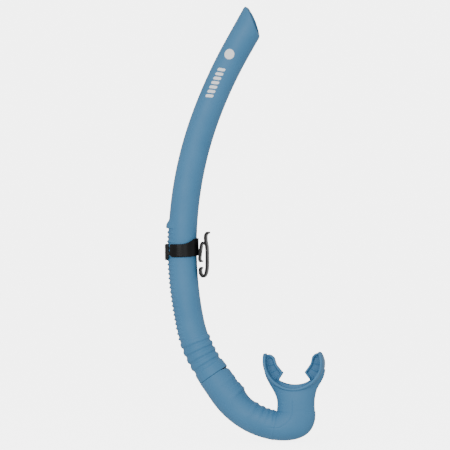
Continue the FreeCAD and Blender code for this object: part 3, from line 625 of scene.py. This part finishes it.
def elbow_field(x, y, z):
    """The elbow, shield and bite tabs as one moulding, hollowed by its airway."""
    lower, past = lower_run(x, y, z, 0.0, True)
    skin = smooth_min(lower, neck_run(x, y, z, 0.0, past), 1.0)
    faces = smooth_step(np.abs(y), 7, 11)
    skin = skin + (0.32 * contour_groove(x, z) - 0.3 * neck_ribs(x, z)) * faces
    radial = np.hypot(x, np.minimum(z - SHIELD_CENTRE_Z, 0))
    skin = smooth_max(np.maximum(skin, SHIELD_INNER + 0.4 - radial), z - 18, 2.0)
    field = smooth_min(skin, shield_field(x, y, z), 0.9)
    field = smooth_min(field, np.maximum(port_lip(x, y, z), radial - 29.0), 0.9)
    field = smooth_min(field, bite_tabs(x, y, z), 0.9)
    lower, past = lower_run(x, y, z, ELBOW_WALL, False)
    airway = np.minimum(lower, neck_run(x, y, z, ELBOW_WALL, past))
    along, across = seam_offsets(x, z)
    socket = np.hypot(across, y)
    airway = np.where(along < SOCKET_BORE_DEPTH, socket - SOCKET_BORE_RADIUS, airway)
    airway = np.maximum(airway, z - AIRWAY_TOP)
    field = smooth_max(field, -airway, 0.5)
    rim = np.where(socket > SEAM_RIM_RADIUS, SEAM_RIM_RECESS, SEAM_RECESS)
    return np.maximum(field, rim - along)


def build_elbow():
    margin = 1.5
    low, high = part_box("mouthpiece_elbow")
    low = [value / MM - margin for value in low]
    high = [value / MM + margin for value in high]
    return make_object("soft_elbow", *skin_field(elbow_field, low, high, ELBOW_CELL))


# ------------------------------------------------------------------ the keeper clip
def place_on_keeper(thing):
    """Moves a piece's vertices from the clip's own frame into the object's."""
    turn = math.radians(KEEPER_TILT)
    points = np.empty(len(thing.data.vertices) * 3)
    thing.data.vertices.foreach_get("co", points)
    points = points.reshape(-1, 3)
    x, z = points[:, 0].copy(), points[:, 2].copy()
    points[:, 0] = KEEPER_X * MM + x * math.cos(turn) - z * math.sin(turn)
    points[:, 2] = KEEPER_Z * MM + x * math.sin(turn) + z * math.cos(turn)
    thing.data.vertices.foreach_set("co", points.ravel())
    thing.data.update()
    return thing


def collar_field(x, y, z):
    """The band round the tube, with ears for the pad's pins and a headed stud for the hook."""
    radial = np.hypot(x, y)
    bore = np.minimum(radial - 14.4, np.hypot(x + 2.3, y) - 13.5)
    ring = smooth_max(radial - 16.5, -bore, 0.35)
    top = smooth_table(x, (-20, 0, 2, 6, 10, 13, 15, 20),
                       (6.5, 6.5, 6.55, 7.3, 9.2, 11.3, 12.2, 12.4))
    bottom = smooth_table(x, (-20, 6, 9, 13, 17, 20), (-6.5, -6.5, -6.4, -5.8, -4.9, -4.4))
    side = smooth_max(z - top, bottom - z, 0.5)
    back, low_round, high_round = -11.3, 3.2, 1.6
    corner = np.hypot(np.maximum(back + low_round - x, 0),
                      np.maximum(bottom + low_round - z, 0)) - low_round
    upper = np.hypot(np.maximum(back + high_round - x, 0),
                     np.maximum(z - top + high_round, 0)) - high_round
    side = np.maximum(np.maximum(side, corner), upper)
    band = smooth_max(ring, side, 0.9)
    ear = smooth_max(np.abs(np.abs(y) - 11.0) - 0.9, np.abs(z - PIVOT_Z) - 1.5, 0.5)
    ear = smooth_max(ear, np.abs(x + 12.3) - 2.3, 0.5)
    band = smooth_min(band, np.maximum(ear, -bore), 0.5)
    neck = np.maximum(np.hypot(y, z - STUD_Z) - 1.7, np.abs(x - 17.2) - 2.1)
    head = np.maximum(np.hypot(y, z - STUD_Z) - 2.5, np.abs(x - 18.95) - 0.45)
    return smooth_min(band, np.minimum(neck, head), 0.4)


def pad_field(x, y, z):
    """The curved rear pad, with a finger lip along its top and a stub pin on each side."""
    radial = np.hypot(x, y)
    inner = 15.6 + 0.9 * np.clip((PIVOT_Z - z) / 6.4, 0, 1)
    plate = smooth_max(radial - 17.8, inner - radial, 0.4)
    plate = smooth_max(plate, np.abs(y) - 9.8, 0.8)
    plate = smooth_max(plate, smooth_max(z - 6.6, -9.6 - z, 0.5), 0.6)
    lip = np.hypot((radial - 16.1) * 1.2, z - 6.3) - 0.75
    lip = np.maximum(lip, np.abs(y) - 8.6)
    plate = np.maximum(smooth_min(plate, lip, 0.5), x + 9)
    pins = np.maximum(np.hypot(x - PIVOT_X, z - PIVOT_Z) - 0.8, np.abs(y) - 11.6)
    pins = np.maximum(pins, 15.4 - radial)
    return smooth_min(plate, pins, 0.2)


def hook_field(x, y, z):
    """Flat bar bent into an open loop, with a finger tip above and a barbed tongue."""
    up = z - STUD_Z
    leg = curve_through([(26.4, 20.8), (25.2, 20.3), (24.2, 19.0), (23.7, 17.2), (23.7, 13.7),
                         (24.1, 10.6), (24.7, 7.4), (25.0, 3.0), (25.0, -5.0), (24.9, -12.5),
                         (24.4, -17.2), (23.3, -21.0), (21.4, -23.1), (19.6, -22.2), (18.3, -19.7),
                         (18.0, -17.0), (18.4, -15.1), (19.1, -14.4)], 4)
    tongue = curve_through([(23.4, 9.3), (22.7, 10.3), (21.6, 10.9), (20.4, 10.6), (19.5, 8.8),
                            (18.8, 5.0), (18.1, 0.6), (17.6, -3.3), (17.5, -5.8), (18.0, -7.4),
                            (19.3, -7.8)], 4)
    flat = smooth_min(path_distance(x, up, leg) - 1.15, path_distance(x, up, tongue) - 1.0, 0.5)
    field = smooth_max(flat, np.abs(y) - 7.0, 0.35)
    hole = np.minimum(np.hypot(y, up) - 1.78, np.maximum(np.hypot(y, up) - 2.6, 18.45 - x))
    return np.maximum(field, -np.maximum(hole, x - 21.0))


def build_clip():
    """The band, pad and hook, each meshed inside its own box in the clip's frame."""
    pieces = (("keeper_band", collar_field, (-17.5, -18, -8), (21, 18, 13.5), BAND_CELL),
              ("rear_pad", pad_field, (-19, -13, -11), (-8, 13, 8.5), PAD_CELL),
              ("strap_loop", hook_field, (15.5, -8.5, -29.5), (29.5, 8.5, 19.5), HOOK_CELL))
    return [place_on_keeper(make_object(name, *skin_field(field, low, high, cell)))
            for name, field, low, high, cell in pieces]


# ------------------------------------------------------------------ materials
def new_material(name):
    material = bpy.data.materials.new(name)
    material.use_nodes = True
    nodes = material.node_tree.nodes
    return material, nodes, material.node_tree.links, nodes["Principled BSDF"]


def add_noise(nodes, links, scale, detail=3.0):
    place = nodes.new("ShaderNodeTexCoord")
    noise = nodes.new("ShaderNodeTexNoise")
    noise.inputs["Scale"].default_value = scale
    noise.inputs["Detail"].default_value = detail
    links.new(place.outputs["Object"], noise.inputs["Vector"])
    return noise.outputs["Fac"]


def add_range(nodes, links, source, low, high):
    spread = nodes.new("ShaderNodeMapRange")
    spread.inputs["From Min"].default_value = 0.3
    spread.inputs["From Max"].default_value = 0.7
    spread.inputs["To Min"].default_value = low
    spread.inputs["To Max"].default_value = high
    links.new(source, spread.inputs["Value"])
    return spread.outputs["Result"]


def add_two_colours(nodes, links, source, first, second):
    ramp = nodes.new("ShaderNodeValToRGB")
    ramp.color_ramp.elements[0].position = 0.35
    ramp.color_ramp.elements[1].position = 0.65
    ramp.color_ramp.elements[0].color = (*first, 1)
    ramp.color_ramp.elements[1].color = (*second, 1)
    links.new(source, ramp.inputs["Fac"])
    return ramp.outputs["Color"]


def add_bump(nodes, links, source, shader, strength, distance):
    bump_node = nodes.new("ShaderNodeBump")
    bump_node.inputs["Strength"].default_value = strength
    bump_node.inputs["Distance"].default_value = distance
    links.new(source, bump_node.inputs["Height"])
    links.new(bump_node.outputs["Normal"], shader.inputs["Normal"])


def silicone(name, first, second, roughness):
    """Matte soft rubber: faint clouding, a fine moulded grain and a slightly uneven gloss."""
    material, nodes, links, shader = new_material(name)
    cloud = add_noise(nodes, links, 38.0, 4.0)
    links.new(add_two_colours(nodes, links, cloud, first, second), shader.inputs["Base Color"])
    smear = add_noise(nodes, links, 90.0, 3.0)
    links.new(add_range(nodes, links, smear, roughness - 0.04, roughness + 0.04),
              shader.inputs["Roughness"])
    grain = add_noise(nodes, links, 1800.0, 2.0)
    add_bump(nodes, links, grain, shader, 0.10, 0.0004)
    shader.inputs["Specular IOR Level"].default_value = 0.3
    return material


def moulded_black(name, level, roughness):
    """Black moulded plastic with a fine spark-eroded grain."""
    material, nodes, links, shader = new_material(name)
    cloud = add_noise(nodes, links, 120.0, 3.0)
    first, second = (level, level, level * 1.1), (level * 1.5, level * 1.5, level * 1.6)
    links.new(add_two_colours(nodes, links, cloud, first, second), shader.inputs["Base Color"])
    links.new(add_range(nodes, links, cloud, roughness - 0.05, roughness + 0.06),
              shader.inputs["Roughness"])
    grain = add_noise(nodes, links, 2600.0, 2.0)
    add_bump(nodes, links, grain, shader, 0.08, 0.0003)
    shader.inputs["Specular IOR Level"].default_value = 0.18
    return material


def print_white(name):
    """Pad-printed white ink, very slightly uneven."""
    material, nodes, links, shader = new_material(name)
    cloud = add_noise(nodes, links, 500.0, 3.0)
    colour = add_two_colours(nodes, links, cloud, (0.86, 0.88, 0.90), (0.93, 0.94, 0.95))
    links.new(colour, shader.inputs["Base Color"])
    links.new(add_range(nodes, links, cloud, 0.45, 0.6), shader.inputs["Roughness"])
    add_bump(nodes, links, cloud, shader, 0.1, 0.0002)
    return material


def pale_floor(name):
    """Near-white paper, lit evenly from behind like a light table."""
    material, nodes, links, shader = new_material(name)
    cloud = add_noise(nodes, links, 3.0, 2.0)
    colour = add_two_colours(nodes, links, cloud, (0.93, 0.93, 0.93), (0.95, 0.95, 0.95))
    links.new(colour, shader.inputs["Base Color"])
    shader.inputs["Roughness"].default_value = 0.9
    shader.inputs["Emission Color"].default_value = (1, 1, 1, 1)
    shader.inputs["Emission Strength"].default_value = STAGE_GLOW
    return material


def paint(thing, material):
    thing.data.materials.clear()
    thing.data.materials.append(material)
    return thing


# ------------------------------------------------------------------ the object
def build_snorkel():
    tube_blue = silicone("tube_rubber", (0.052, 0.184, 0.345), (0.059, 0.198, 0.365), 0.54)
    elbow_blue = silicone("elbow_silicone", (0.054, 0.184, 0.345), (0.061, 0.198, 0.365), 0.56)
    black = moulded_black("black_clip", 0.003, 0.32)

    tube = paint(build_tube(), tube_blue)
    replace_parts(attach(tube, "tube"), "barrel")
    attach(paint(build_mark(), print_white("print_white")), "tube")
    elbow = paint(build_elbow(), elbow_blue)
    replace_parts(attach(elbow, "mouthpiece"), "mouthpiece_elbow")
    collar, pad, hook = (paint(thing, black) for thing in build_clip())
    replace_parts(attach(collar, "keeper"), "keeper_collar")
    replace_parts(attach(pad, "pad"), "release_pad")
    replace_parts(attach(hook, "hook"), "strap_hook")
    paint(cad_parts["coupling_sleeve"], moulded_black("black_insert", 0.006, 0.45))


# ------------------------------------------------------------------ the studio
def build_stage():
    """A round pale floor that coves up into a wall all round the set. Only the camera sees it, so
    its brightness doesn't spill onto the object."""
    floor_z = cad_bounds[0][2] / MM - 0.4
    wall, cove, top, sides = 6000.0, 1500.0, 7000.0, 64
    profile = [(1.0, 0.0), (wall - cove, 0.0)]
    cove_steps = 12
    for step in range(1, cove_steps + 1):
        turn = step / cove_steps * math.pi / 2
        profile.append((wall - cove + cove * math.sin(turn), cove * (1 - math.cos(turn))))
    profile += [(wall, top), (1.0, top)]
    points = [(radius * math.cos(turn), radius * math.sin(turn), floor_z + height)
              for radius, height in profile for turn in np.arange(sides) * 2 * math.pi / sides]
    stage = make_object("studio_sweep", points, grid_faces(len(profile), sides))
    stage.visible_diffuse = False
    stage.visible_glossy = False
    stage.visible_shadow = False
    paint(stage, pale_floor("floor_pale"))


def add_light(name, place, target, size, power):
    data = bpy.data.lights.new(name, "AREA")
    data.shape = "RECTANGLE"
    data.size, data.size_y = size
    data.energy = power
    light = bpy.data.objects.new(name, data)
    bpy.context.scene.collection.objects.link(light)
    light.location = place
    light.rotation_euler = (Vector(target) - Vector(place)).to_track_quat("-Z", "Y").to_euler()


def build_lights():
    middle = (-0.07, 0.0, 0.16)
    add_light("key_softbox", (-0.55, -1.9, 0.75), middle, (1.1, 1.3), KEY_POWER)
    add_light("front_fill", (0.9, -2.1, 0.3), middle, (1.2, 1.6), FILL_POWER)
    world = bpy.data.worlds.new("studio_world")
    world.use_nodes = True
    world.node_tree.nodes["Background"].inputs["Color"].default_value = (1, 1, 1, 1)
    world.node_tree.nodes["Background"].inputs["Strength"].default_value = WORLD_LIGHT
    bpy.context.scene.world = world


def build_camera():
    """A long lens, level with the middle of the object and slightly to its mouthpiece side."""
    azimuth = math.radians(7.7)
    distance, frame_height = 3.0, 0.450
    target = Vector((-0.0696, 0.0, 0.161))
    data = bpy.data.cameras.new("camera")
    data.sensor_width = 36.0
    data.lens = data.sensor_width * distance / frame_height
    data.clip_end = 50
    camera = bpy.data.objects.new("camera", data)
    bpy.context.scene.collection.objects.link(camera)
    camera.location = target + distance * Vector((math.sin(azimuth), -math.cos(azimuth), 0))
    camera.rotation_euler = (math.pi / 2, 0, azimuth)
    bpy.context.scene.camera = camera


build_snorkel()
build_stage()
build_lights()
build_camera()
